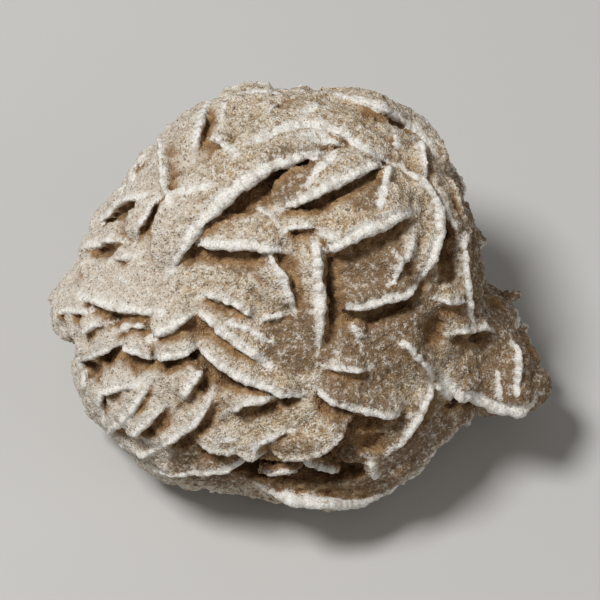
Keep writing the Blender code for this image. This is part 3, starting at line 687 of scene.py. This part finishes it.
class Nodes:
    """A node tree that is being built."""

    def __init__(self, tree):
        self.tree = tree

    def add(self, kind, settings=None, sockets=None, output=0):
        """Adds a node: its settings first, then the values or links of its sockets."""
        made = self.tree.nodes.new(kind)
        for name, value in (settings or {}).items():
            setattr(made, name, value)
        for name, value in (sockets or {}).items():
            if isinstance(value, Value):
                self.tree.links.new(value.socket, made.inputs[name])
            else:
                made.inputs[name].default_value = value
        return Value(self, made.outputs[output]) if made.outputs else None

    def between(self, value, low, high):
        """0 below low, 1 above high, and smooth between them."""
        return self.add("ShaderNodeMapRange", {"interpolation_type": "SMOOTHSTEP"},
                        {"Value": value, "From Min": low, "From Max": high})

    def mixed(self, share, first, second):
        """The second colour laid over the first by that share."""
        return self.add("ShaderNodeMix", {"data_type": "RGBA"}, {0: share, 6: first, 7: second}, output=2)

    def layered(self, base, layers):
        """Colours laid over a base one after another, each by its own share."""
        for share, colour in layers:
            base = self.mixed(share, base, colour)
        return base

    def vectors(self, operation, *values):
        return self.add("ShaderNodeVectorMath", {"operation": operation}, dict(enumerate(values)))

    def scaled(self, vector, size):
        return self.add("ShaderNodeVectorMath", {"operation": "SCALE"}, {0: vector, "Scale": size})

    def noise(self, place, size, detail=2.0, roughness=0.55):
        """Soft random values around 0.5 that change over that size."""
        return self.add("ShaderNodeTexNoise", None, {
            "Vector": place, "Scale": 1.0 / size, "Detail": detail, "Roughness": roughness,
        })

    def cells(self, place, size, output):
        """Rounded cells of that size: each cell's own random colour, or the distance from its middle."""
        return self.add("ShaderNodeTexVoronoi", {"feature": "F1"}, {"Vector": place, "Scale": 1 / size},
                        output=output)

    def random(self, low, high, seed):
        """A random number or vector between low and high, for each point."""
        kind, first = ("FLOAT_VECTOR", 0) if isinstance(low, tuple) else ("FLOAT", 2)
        return self.add("FunctionNodeRandomValue", {"data_type": kind},
                        {first: low, first + 1: high, "Seed": seed}, output=first // 2)

    def stored(self, geometry, name, value):
        """The geometry with a number stored at each of its points."""
        return self.add("GeometryNodeStoreNamedAttribute", {"data_type": "FLOAT", "domain": "POINT"},
                        {"Geometry": geometry, "Name": name, "Value": value})

    def layer(self, name):
        """A number stored on the mesh."""
        if self.tree.type == "GEOMETRY":
            return self.add("GeometryNodeInputNamedAttribute", {"data_type": "FLOAT"}, {"Name": name})
        return self.add("ShaderNodeAttribute", {"attribute_name": name}, output="Fac")


def geometry_nodes(name, sizes):
    """A Geometry Nodes tree with named inputs; gives the tree being built, and the inputs by name."""
    tree = bpy.data.node_groups.new(name, "GeometryNodeTree")
    tree.interface.new_socket("Geometry", in_out="INPUT", socket_type="NodeSocketGeometry")
    for title, kind in sizes.items():
        tree.interface.new_socket(title, in_out="INPUT", socket_type=kind)
    tree.interface.new_socket("Geometry", in_out="OUTPUT", socket_type="NodeSocketGeometry")
    nodes = Nodes(tree)
    geometry = nodes.add("NodeGroupInput")
    return nodes, {"Geometry": geometry, **{title: geometry.other(title) for title in sizes}}


def finish_tree(nodes, geometry, material):
    """Ends a Geometry Nodes tree: everything real, in one material."""
    real = nodes.add("GeometryNodeRealizeInstances", None, {"Geometry": geometry})
    dressed = nodes.add("GeometryNodeSetMaterial", None, {"Geometry": real, "Material": material})
    nodes.add("NodeGroupOutput", None, {"Geometry": dressed})
    return nodes.tree


def apply_tree(piece, tree, sizes):
    """Runs a tree over a piece, with its inputs set, and keeps the result as a plain mesh."""
    modifier = piece.modifiers.new(tree.name, "NODES")
    modifier.node_group = tree
    for item in tree.interface.items_tree:
        if item.in_out == "INPUT" and item.name in sizes:
            modifier[item.identifier] = sizes[item.name]
    return evaluated(piece)


def roughened(material):
    """The tree that pushes the skin out and in: lumps, then grit, and both weaker on the rims."""
    nodes, given = geometry_nodes("roughened", {
        "Lump size": "NodeSocketFloat", "Lump height": "NodeSocketFloat",
        "Grit size": "NodeSocketFloat", "Grit height": "NodeSocketFloat",
    })
    place = nodes.add("GeometryNodeInputPosition")
    normal = nodes.add("GeometryNodeInputNormal")
    chalk = nodes.layer("chalk")
    lumps = nodes.noise(place, given["Lump size"], detail=2.0) - 0.5
    grit = nodes.noise(place, given["Grit size"], detail=3.0, roughness=0.6) - 0.5
    rise = lumps * given["Lump height"] * (1 - chalk * 0.75) + grit * given["Grit height"] * (1 - chalk * 0.4)
    moved = nodes.add("GeometryNodeSetPosition", None, {
        "Geometry": given["Geometry"], "Offset": nodes.scaled(normal, rise),
    })
    return finish_tree(nodes, moved, material)


def closed_in(material):
    """The tree that stores how closed in each place is: the share of short rays that meet the skin."""
    nodes, given = geometry_nodes("closed_in", {"Reach": "NodeSocketFloat"})
    place = nodes.add("GeometryNodeInputPosition")
    normal = nodes.add("GeometryNodeInputNormal")
    start = nodes.vectors("ADD", place, nodes.scaled(normal, 0.1))
    total = 0
    for ray in range(SHADE_RAYS):
        chance = nodes.random((-1.0, -1.0, -1.0), (1.0, 1.0, 1.0), ray)
        way = nodes.vectors("NORMALIZE", nodes.vectors("ADD", normal, nodes.vectors("NORMALIZE", chance)))
        met = nodes.add("GeometryNodeRaycast", None, {
            "Target Geometry": given["Geometry"], "Source Position": start,
            "Ray Direction": way, "Ray Length": given["Reach"],
        })
        total = met * (1 - met.other("Hit Distance") / given["Reach"]) + total
    soft = nodes.add("GeometryNodeBlurAttribute", {"data_type": "FLOAT"},
                     {"Value": total / SHADE_RAYS, "Iterations": 3})
    return finish_tree(nodes, nodes.stored(given["Geometry"], "shade", soft), material)


def new_material(name):
    """An empty material's nodes, and a function that ends it in a shader with those sockets."""
    material = bpy.data.materials.new(name)
    material.use_nodes = True
    material.node_tree.nodes.clear()
    nodes = Nodes(material.node_tree)

    def shader(**sockets):
        named = {title.replace("_", " "): value for title, value in sockets.items()}
        surface = nodes.add("ShaderNodeBsdfPrincipled", None, named)
        nodes.add("ShaderNodeOutputMaterial", None, {"Surface": surface})
        return material
    return nodes, shader


def sandy_gypsum():
    """Tan sand with pale, ochre and dark grains and chalky white on the rims. The hollows are brown and
    darkest deep inside, from the stored shade: partly brown sand, partly painted shade. It is paler towards
    the left and browner towards the right, partly painted light and painted shade.
    """
    nodes, shader = new_material("sandy_gypsum")
    place = nodes.add("ShaderNodeTexCoord", output="Object")
    chalk, shade, run = nodes.layer("chalk"), nodes.layer("shade"), nodes.layer("run")
    broad = nodes.noise(place, BROAD_SIZE * MM)
    lumps = nodes.noise(place, LUMP_SIZE * MM, detail=2.0)
    grit = nodes.noise(place, GRIT_SIZE * MM, detail=3.0, roughness=0.6)
    speckle = nodes.noise(place, SPECK_SIZE * MM, detail=2.0, roughness=0.7)
    gold = nodes.noise(place, GOLD_SIZE * MM, detail=1.0)
    clump = nodes.between(nodes.noise(place, CLUMP_SIZE * MM), 0.42, 0.58)
    stripes, bars = (
        nodes.add("ShaderNodeTexNoise", {"noise_dimensions": "1D"},
                  {"W": run, "Scale": 1 / size, "Detail": detail, "Roughness": roughness})
        for size, detail, roughness in ((STRIPE_SIZE, 2.0, 0.6), (BAR_SIZE, 1.0, 0.5))
    )
    across = nodes.add("ShaderNodeSeparateXYZ", None, {"Vector": place})
    # How much a place takes of the brown patches and the browner right side: partly brown sand, partly
    # painted shade.
    stained_and_shaded = nodes.between(nodes.layer("stain_and_shade") + (lumps - 0.5) * 0.8, 0.25, 0.75)
    # Paler towards the left, which faces the key light: partly paler sand, partly painted light.
    pale_and_lit_left = nodes.between(across + (broad - 0.5) * (PALE_AND_LIT_WANDER * MM), *(side * MM for side in PALE_AND_LIT_SIDE))

    grain = nodes.cells(place, GRAIN_SIZE * MM, "Color")
    pick = nodes.add("ShaderNodeSeparateColor", {"mode": "RGB"}, {"Color": grain})
    other = pick.other("Green")

    sand = nodes.mixed(nodes.between(lumps, 0.36, 0.6), (0.44, 0.30, 0.165, 1), (0.60, 0.495, 0.35, 1))
    sand = nodes.layered(sand, [
        (nodes.between(broad, 0.42, 0.62) * 0.5, (0.62, 0.555, 0.45, 1)),
        (nodes.between(gold, 0.57, 0.72) * 0.6, (0.60, 0.40, 0.185, 1)),
        (pale_and_lit_left * 0.6, (0.70, 0.655, 0.59, 1)),
        (nodes.between(chalk, 0.03, 0.5) * 0.55, (0.72, 0.66, 0.56, 1)),
        (stained_and_shaded * 0.85, (0.215, 0.13, 0.06, 1)),
        ((1 - clump) * stained_and_shaded * 0.35, (0.17, 0.095, 0.04, 1)),
        (nodes.between(grit, 0.47, 0.36) * (0.7 - pale_and_lit_left * 0.45), (0.19, 0.105, 0.045, 1)),
        (nodes.between(grit, 0.53, 0.64) * (0.85 - stained_and_shaded * 0.25), (0.82, 0.77, 0.69, 1)),
        (nodes.between(pick, 0.76, 0.82) * (0.3 + clump * 0.5) * (1 - stained_and_shaded * 0.6), (0.80, 0.75, 0.67, 1)),
        (nodes.between(pick, 0.22, 0.14) * (0.55 - pale_and_lit_left * 0.3), (0.22, 0.13, 0.065, 1)),
        (nodes.between(other, 0.96, 0.975) * 0.75, (0.085, 0.068, 0.056, 1)),
    ])

    # The hollows' colour: brown sand, darkened to painted shade where the stored shade says a place is most
    # closed in.
    hollow = nodes.mixed(nodes.between(lumps, 0.4, 0.62), (0.24, 0.125, 0.048, 1), (0.38, 0.225, 0.10, 1))
    hollow = nodes.layered(hollow, [
        (nodes.between(grit, 0.47, 0.36) * 0.6, (0.11, 0.056, 0.025, 1)),
        (nodes.between(grit, 0.55, 0.66) * 0.4, (0.52, 0.38, 0.22, 1)),
        (nodes.between(pick, 0.84, 0.9) * 0.35, (0.50, 0.38, 0.24, 1)),
        (nodes.between(shade, 0.32, 0.55) * 0.5, (0.08, 0.05, 0.03, 1)),
    ])
    # Painted shade: places take the hollow colour as they are more closed in.
    deep = nodes.between(shade + (grit - 0.5) * 0.2, 0.06, 0.24)
    ground = nodes.mixed(deep, sand, hollow)

    white = nodes.mixed(nodes.between(speckle, 0.40, 0.66), (0.90, 0.88, 0.84, 1), (0.72, 0.68, 0.60, 1))
    white = nodes.layered(white, [
        (nodes.between(chalk, 0.85, 0.45) * 0.7, (0.66, 0.60, 0.51, 1)),
        (nodes.between(stripes, 0.47, 0.36) * 0.25, (0.46, 0.40, 0.33, 1)),
        (nodes.between(bars, 0.45, 0.36) * 0.4, (0.38, 0.31, 0.24, 1)),
        (nodes.between(grit, 0.46, 0.36) * 0.55, (0.44, 0.34, 0.24, 1)),
    ])
    breaks = (speckle - 0.5) * 1.3 + (grit - 0.5) * 1.1 + (lumps - 0.5) * 0.5 + (bars - 0.5) * 0.5
    # The rims are painted a little duller in the shade and on the brown patches.
    chalky = nodes.between(chalk + breaks - deep * 0.1 - stained_and_shaded * 0.1, 0.32, 0.66)
    colour = nodes.mixed(chalky, ground, white)

    relief = nodes.cells(place, BUMP_SIZE * MM, "Distance")
    height = (1 - relief) * (1 - chalk * 0.6) + speckle * 0.7 + stripes * chalk * 0.2
    bump = nodes.add("ShaderNodeBump", None, {
        "Height": height, "Strength": 0.9, "Distance": BUMP_HEIGHT * MM,
    })
    return shader(Base_Color=colour, Roughness=0.92 - chalky * 0.1, Normal=bump)


def store(mesh, name, values):
    layer = mesh.attributes.get(name) or mesh.attributes.new(name, "FLOAT", "POINT")
    layer.data.foreach_set("value", values.astype(np.float32))


def layer_values(mesh, name):
    values = np.empty(len(mesh.vertices), np.float32)
    mesh.attributes[name].data.foreach_get("value", values)
    return values.astype(float)


def chalk_and_run(places):
    """How chalky each place is, and how far along its rim: chalk is 1 on the rims and fades behind them."""
    rows = np.array([rim_tree.find(place)[1] for place in places])
    centres, overs, outs, halves, chalkiness, bare, runs = (column[rows] for column in tops)
    away = places - centres
    across = (away * overs).sum(1)
    above = (away * outs).sum(1)
    far = np.linalg.norm(away, axis=1)
    back = -across - halves
    behind = 0.35 * smoothstep(0.0, 0.5, back) + 0.65 * smoothstep(0.15, CHALK_FADE, back)
    ahead = smoothstep(0.05, 0.35, across - halves)
    below = smoothstep(0.25, 1.0, -above / bare)
    chalk = (1 - behind) * (1 - ahead) * (1 - below) * (1 - smoothstep(1.2, 2.0, far / np.maximum(1, bare)))
    return chalk * chalkiness, runs


def stain_and_shade(places):
    """How brown and shaded each place is: the patches, and the side that the right lobe is on, away from the
    key light. Both are partly brown sand and partly painted shade.
    """
    wander = np.array([noise.noise(Vector(place) / BROWN_AND_SHADE_WANDER[0]) for place in places]) * BROWN_AND_SHADE_WANDER[1]
    browned = smoothstep(*BROWN_AND_SHADE_SIDE, places[:, 0] + wander)
    for (x, y), toward, reach in BROWN_AND_SHADE_PATCHES:
        away = np.linalg.norm(places - np.array(drawn(x, y, toward)), axis=1)
        browned = np.maximum(browned, 1 - smoothstep(0.5 * reach, 1.1 * reach, away))
    return browned


def cut_foot(piece):
    """Wears the underside off flat at z = 0."""
    bm = bmesh.new()
    bm.from_mesh(piece.data)
    cut = bmesh.ops.bisect_plane(
        bm, geom=bm.verts[:] + bm.edges[:] + bm.faces[:], dist=1e-5,
        plane_co=(0, 0, 0), plane_no=(0, 0, -1), clear_outer=True,
    )
    edges = [e for e in cut["geom_cut"] if isinstance(e, bmesh.types.BMEdge)]
    bmesh.ops.contextual_create(bm, geom=edges)
    bmesh.ops.triangulate(bm, faces=bm.faces[:])
    bm.to_mesh(piece.data)
    bm.free()


def largest_skin(piece):
    """Leaves out the sealed pockets inside the piece."""
    bm = bmesh.new()
    bm.from_mesh(piece.data)
    unseen, skins = set(bm.verts), []
    for vert in bm.verts:
        if vert not in unseen:
            continue
        unseen.discard(vert)
        skin, front = [vert], [vert]
        while front:
            for edge in front.pop().link_edges:
                for other in edge.verts:
                    if other in unseen:
                        unseen.discard(other)
                        skin.append(other)
                        front.append(other)
        skins.append(skin)
    skins.sort(key=len)
    bmesh.ops.delete(bm, geom=[vert for skin in skins[:-1] for vert in skin], context="VERTS")
    bm.to_mesh(piece.data)
    bm.free()


def finished(piece, name):
    """Brings a piece from millimetres to metres and says how it belongs to the part."""
    piece.data.transform(Matrix.Scale(MM, 4))
    piece.data.shade_smooth()
    piece.name = piece.data.name = name
    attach(piece, "root")
    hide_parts("sand_rose")


tops = [np.array(column, float) for column in zip(*rim_tops)]
rim_tree = KDTree(len(tops[0]))
for row, centre in enumerate(tops[0]):
    rim_tree.insert(centre, row)
rim_tree.balance()

crust = sandy_gypsum()
largest_skin(rose)
smooth = rose.modifiers.new("worn", "SMOOTH")
smooth.factor, smooth.iterations = WORN_SHARE, WORN_ROUNDS
evaluated(rose)
chalk, _ = chalk_and_run(positions(rose.data))
store(rose.data, "chalk", chalk)
apply_tree(rose, roughened(crust), {
    "Lump size": LUMP_SIZE, "Lump height": LUMP_HEIGHT, "Grit size": GRIT_SIZE, "Grit height": GRIT_HEIGHT,
})
slack = rose.vertex_groups.new(name="slack")
for index, bare in enumerate(layer_values(rose.data, "chalk")):
    slack.add([index], 1.0 - KEPT_ON_RIMS * bare, "REPLACE")
thin = rose.modifiers.new("thinned", "DECIMATE")
thin.vertex_group = slack.name
thin.ratio = SKIN_TRIANGLES / (2 * len(rose.data.polygons))
thin.use_collapse_triangulate = True
evaluated(rose)
rose.vertex_groups.clear()
cut_foot(rose)
chalk, run = chalk_and_run(positions(rose.data))
store(rose.data, "chalk", chalk)
store(rose.data, "run", run)
store(rose.data, "stain_and_shade", stain_and_shade(positions(rose.data)))
apply_tree(rose, closed_in(crust), {"Reach": SHADE_REACH})
ground = rose.data.copy()
finished(rose, "sand_rose_skin")

# --- Grains ------------------------------------------------------------------------------------------
# Loose-set sand grains stand out of the cement: pale gypsum and quartz, ochre-stained quartz, and a few
# dark ones. They are angular, half sunk, and rare on the chalky rims.
# Count, how far they keep out of the brown and painted-shade places, sizes, seed, colours and roughness.
GRAINS = {
    "pale_grains": (40000, 0.9, (0.07, 0.15), 3, ((0.76, 0.71, 0.62, 1), (0.52, 0.43, 0.31, 1)), 0.6),
    "ochre_grains": (32000, 0.0, (0.07, 0.14), 4, ((0.46, 0.30, 0.15, 1), (0.26, 0.145, 0.06, 1)), 0.75),
    "dark_grains": (8000, 0.3, (0.05, 0.11), 5, ((0.13, 0.105, 0.085, 1), (0.045, 0.038, 0.034, 1)), 0.6),
}
GRAIN_CLEAR = 0.6


def grain_material(name, light, dark, roughness):
    """One colour of grain, a little lighter or darker from grain to grain."""
    nodes, shader = new_material(name)
    tone = nodes.layer("tone")
    return shader(Base_Color=nodes.mixed(tone, light, dark), Roughness=roughness - tone * 0.1)


def scattered(material):
    """The tree that sows angular grains over a skin, fewer on the rims and none by the foot."""
    nodes, given = geometry_nodes("scattered_grains", {
        "Density": "NodeSocketFloat", "Least": "NodeSocketFloat", "Most": "NodeSocketFloat",
        "Open only": "NodeSocketFloat", "Seed": "NodeSocketInt",
    })
    place = nodes.add("GeometryNodeInputPosition")
    rise = nodes.add("ShaderNodeSeparateXYZ", None, {"Vector": place}).other("Z")
    share = (1 - nodes.layer("chalk") * 0.85) * nodes.between(rise, GRAIN_CLEAR * 0.5, GRAIN_CLEAR)
    # Pale grains are thinned where the stored shade and the brown patches lie, so that these places are
    # painted darker.
    brown = nodes.layer("shade") * 5 + nodes.layer("stain_and_shade")
    share = share * (1 - nodes.between(brown, 0.3, 1.0) * given["Open only"])
    share = share * (0.2 + 0.8 * nodes.between(nodes.noise(place, CLUMP_SIZE), 0.42, 0.58))
    sown = nodes.add("GeometryNodeDistributePointsOnFaces", {"distribute_method": "RANDOM"}, {
        "Mesh": given["Geometry"], "Density": given["Density"] * share, "Seed": given["Seed"],
    })
    toned = nodes.stored(sown, "tone", nodes.random(0.0, 1.0, 1))
    size = nodes.random(given["Least"], given["Most"], 2)
    stretch = nodes.random((0.7, 0.7, 0.7), (1.3, 1.3, 1.3), 3)
    turn = nodes.random((0.0, 0.0, 0.0), (math.tau, math.tau, math.tau), 4)
    grain = nodes.add("GeometryNodeMeshUVSphere", None, {"Segments": 4, "Rings": 2, "Radius": 1.0})
    set_in = nodes.add("GeometryNodeInstanceOnPoints", None, {
        "Points": toned, "Instance": grain, "Rotation": turn, "Scale": nodes.scaled(stretch, size),
    })
    return finish_tree(nodes, set_in, material)


area = sum(face.area for face in ground.polygons)
for name, (count, open_only, (least, most), seed, (light, dark), roughness) in GRAINS.items():
    grains = bpy.data.objects.new(name, ground.copy())
    bpy.context.scene.collection.objects.link(grains)
    apply_tree(grains, scattered(grain_material(name, light, dark, roughness)), {
        "Density": count / area, "Least": least, "Most": most, "Open only": open_only, "Seed": seed,
    })
    finished(grains, name)
bpy.data.meshes.remove(ground)

# --- Stage -------------------------------------------------------------------------------------------
# A pale floor under the rose, a soft key light from the upper left of the show face, a weak fill from
# the other side, and the camera that looks down on the show face.
FLOOR_SIZE = 3.0
FLOOR_COLOUR = (0.56, 0.55, 0.53, 1.0)
LIGHTS = {
    "key_light": (RIGHT * -0.45 + UPWARD * 0.5 + OUTWARD * 0.9, 0.75, 0.22, 4.9),
    "fill_light": (RIGHT * 0.8 - UPWARD * 0.1 + OUTWARD * 0.6, 0.8, 0.6, 0.8),
}
SKY = (1.0, 0.98, 0.95, 1.0)
SKY_STRENGTH = 0.17
PICTURE_STEPS = 600
SENSOR = 36.0


def aimed(data, place, towards):
    """An object for a light or the camera, at that place and turned towards another."""
    piece = bpy.data.objects.new(data.name, data)
    bpy.context.scene.collection.objects.link(piece)
    piece.location = place
    piece.rotation_euler = (towards - place).to_track_quat("-Z", "Y").to_euler()
    return piece


nodes, shader = new_material("studio_floor")
spots = nodes.noise(nodes.add("ShaderNodeTexCoord", output="Object"), 0.05)
paper = nodes.mixed(nodes.between(spots, 0.3, 0.7) * 0.04, FLOOR_COLOUR, (0.5, 0.5, 0.5, 1.0))
bm = bmesh.new()
bmesh.ops.create_grid(bm, x_segments=2, y_segments=2, size=FLOOR_SIZE / 2)
floor = mesh_object("studio_floor", bm)
floor.data.materials.append(shader(Base_Color=paper, Roughness=0.85))

heart_place = HEART * MM
for name, (way, distance, size, watts) in LIGHTS.items():
    light = bpy.data.lights.new(name, "AREA")
    light.shape, light.size, light.energy = "DISK", size, watts
    aimed(light, heart_place + way.normalized() * distance, heart_place)

world = bpy.data.worlds.new("studio_air")
world.use_nodes = True
world.node_tree.nodes["Background"].inputs["Color"].default_value = SKY
world.node_tree.nodes["Background"].inputs["Strength"].default_value = SKY_STRENGTH
bpy.context.scene.world = world

lens = bpy.data.cameras.new("show_face_camera")
lens.sensor_width = SENSOR
lens.lens = SENSOR * SIGHT_DISTANCE / (PICTURE_STEPS * STEP)
lens.clip_start = 0.01
bpy.context.scene.camera = aimed(lens, EYE * MM, heart_place)
bpy.context.scene.view_settings.view_transform = "Standard"
